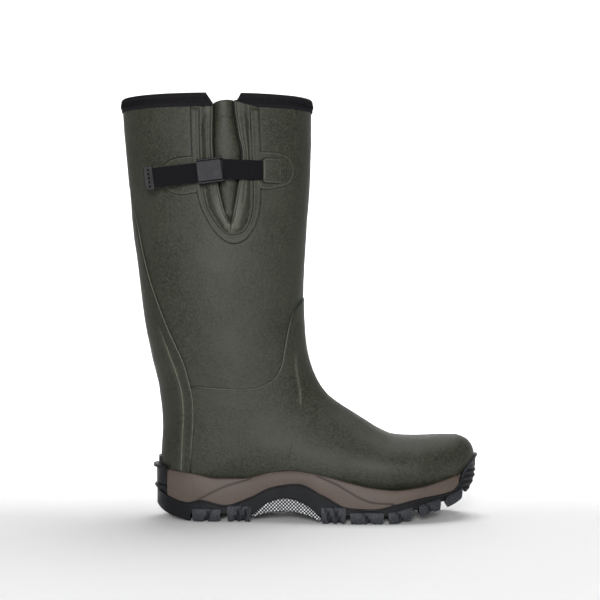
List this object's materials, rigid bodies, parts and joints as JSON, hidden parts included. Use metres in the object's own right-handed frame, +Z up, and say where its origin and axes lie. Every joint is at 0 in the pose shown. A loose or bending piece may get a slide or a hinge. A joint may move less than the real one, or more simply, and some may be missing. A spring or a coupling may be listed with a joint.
{
  "type": "insulated hunting boot",
  "caption": "Tall neoprene lined rubber boot with a bellows calf gusset, cam buckle strap, lugged sole, heel kick ledges and a loose footbed.",
  "frame": {"origin": "centre of the bounding box's bottom face, on the ground under the sole", "axes": "+X to the toe, +Y to the inner side of the right foot, +Z up along the leg"},
  "size_m": [0.3545, 0.1236, 0.4145],
  "materials": {
    "rubber": "matte dark olive green rubber with a fine mottled grain",
    "lining": "black neoprene with a knit face",
    "binding": "black ribbed knit tape",
    "webbing": "black woven webbing",
    "buckle_black": "black moulded plastic",
    "buckle_grey": "dark grey moulded plastic",
    "midsole": "matte grey brown foam rubber",
    "outsole": "black rubber",
    "check_plate": "black and silver checked sheet",
    "steel": "plain spring steel",
    "board": "pressed fibre board",
    "footbed": "black felt over foam"
  },
  "bodies": {
    "boot": {"shaft_shell": "rubber", "foot_shell": "rubber", "vamp_overlay": "rubber", "back_stay": "rubber", "neoprene_lining": "lining", "toe_puff": "board", "heel_counter": "board", "top_binding": "binding", "gusset_panel": "rubber", "gusset_frame": "rubber", "front_strap_patch": "rubber", "rear_strap_patch": "rubber", "strap_span": "webbing", "anchor_loop": "webbing", "buckle_frame": "buckle_black", "midsole": "midsole", "arch_plate": "check_plate", "outsole": "outsole", "heel_kick_plate": "outsole", "steel_shank": "steel", "insole_board": "board"},
    "buckle_lever": {"buckle_lever": "buckle_grey"},
    "strap_tail": {"strap_tail": "webbing", "strap_tip": "buckle_black"},
    "footbed": {"footbed": "footbed"}
  },
  "joints": [
    {"name": "lever_hinge", "type": "hinge", "parent": "boot", "child": "buckle_lever", "pos_m": [-0.07517, -0.0585, 0.3398], "axis": [-0.1219, 0, 0.9925], "range_deg": [0, 85]},
    {"name": "tail_slide", "type": "slide", "parent": "boot", "child": "strap_tail", "axis": [-0.9925, 0, -0.1219], "range_m": [0, 0.01]},
    {"name": "footbed_lift", "type": "hinge", "parent": "boot", "child": "footbed", "pos_m": [0.1476, 0.0049, 0.0346], "axis": [0, 1, 0], "range_deg": [0, 10]}
  ]
}
